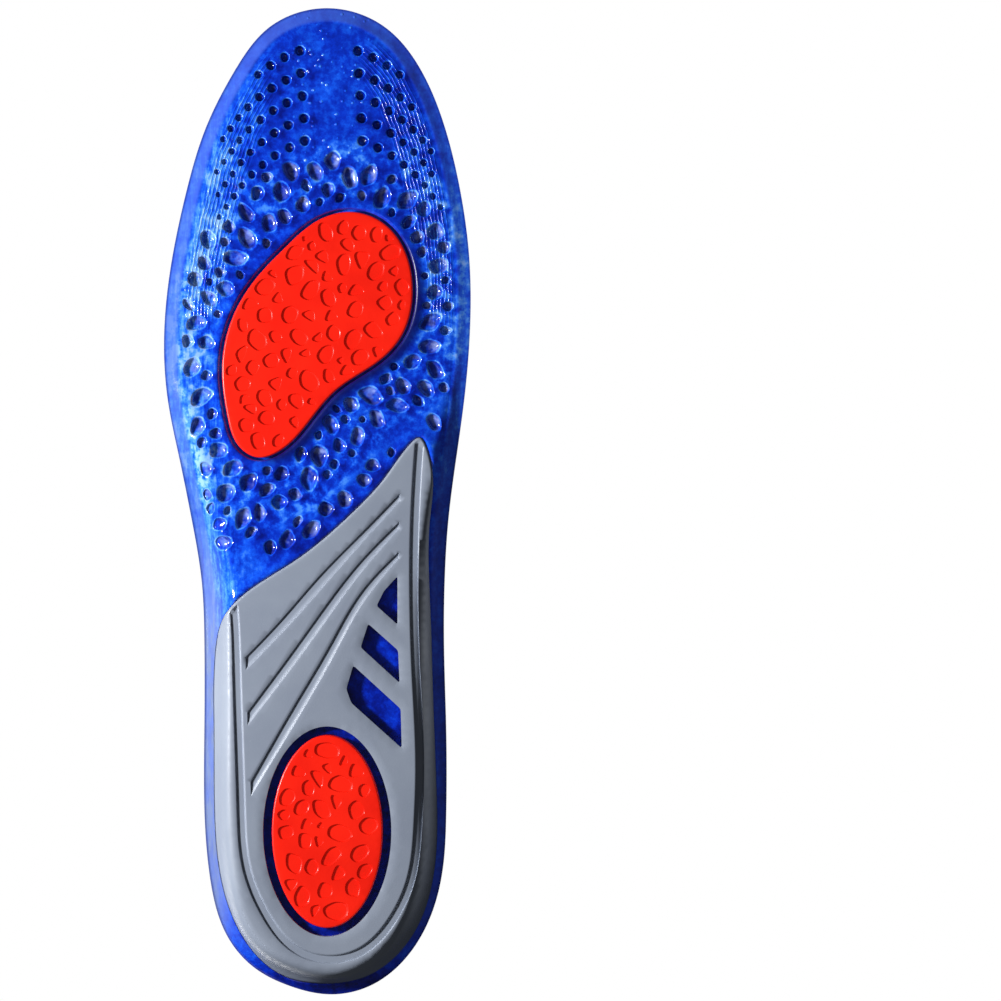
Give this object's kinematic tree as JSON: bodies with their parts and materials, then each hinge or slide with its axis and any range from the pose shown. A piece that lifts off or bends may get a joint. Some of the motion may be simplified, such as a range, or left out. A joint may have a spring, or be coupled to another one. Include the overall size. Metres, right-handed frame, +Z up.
{
  "type": "cushioned insole",
  "caption": "Full-length gel shoe insole for the right foot, with a knitted top, a dished heel cup, a stiff arch shell and soft pads under the ball and heel.",
  "frame": {"origin": "middle of the insole's length and width, on the floor it rests on", "axes": "+Z up out of the foot side, +Y from heel to toe, -X towards the arch (inner) side of a right foot"},
  "size_m": [0.0899, 0.2901, 0.0201],
  "materials": {
    "knit_cover": "brushed fine knit, matte",
    "blue_gel": "clear tinted gel, glossy",
    "red_rubber": "smooth soft rubber, semi-gloss",
    "grey_shell": "satin moulded plastic"
  },
  "bodies": {
    "root": {"top_cover": "knit_cover", "gel_base": "blue_gel", "ball_pad": "red_rubber", "heel_pad": "red_rubber", "arch_shell": "grey_shell"}
  },
  "joints": []
}
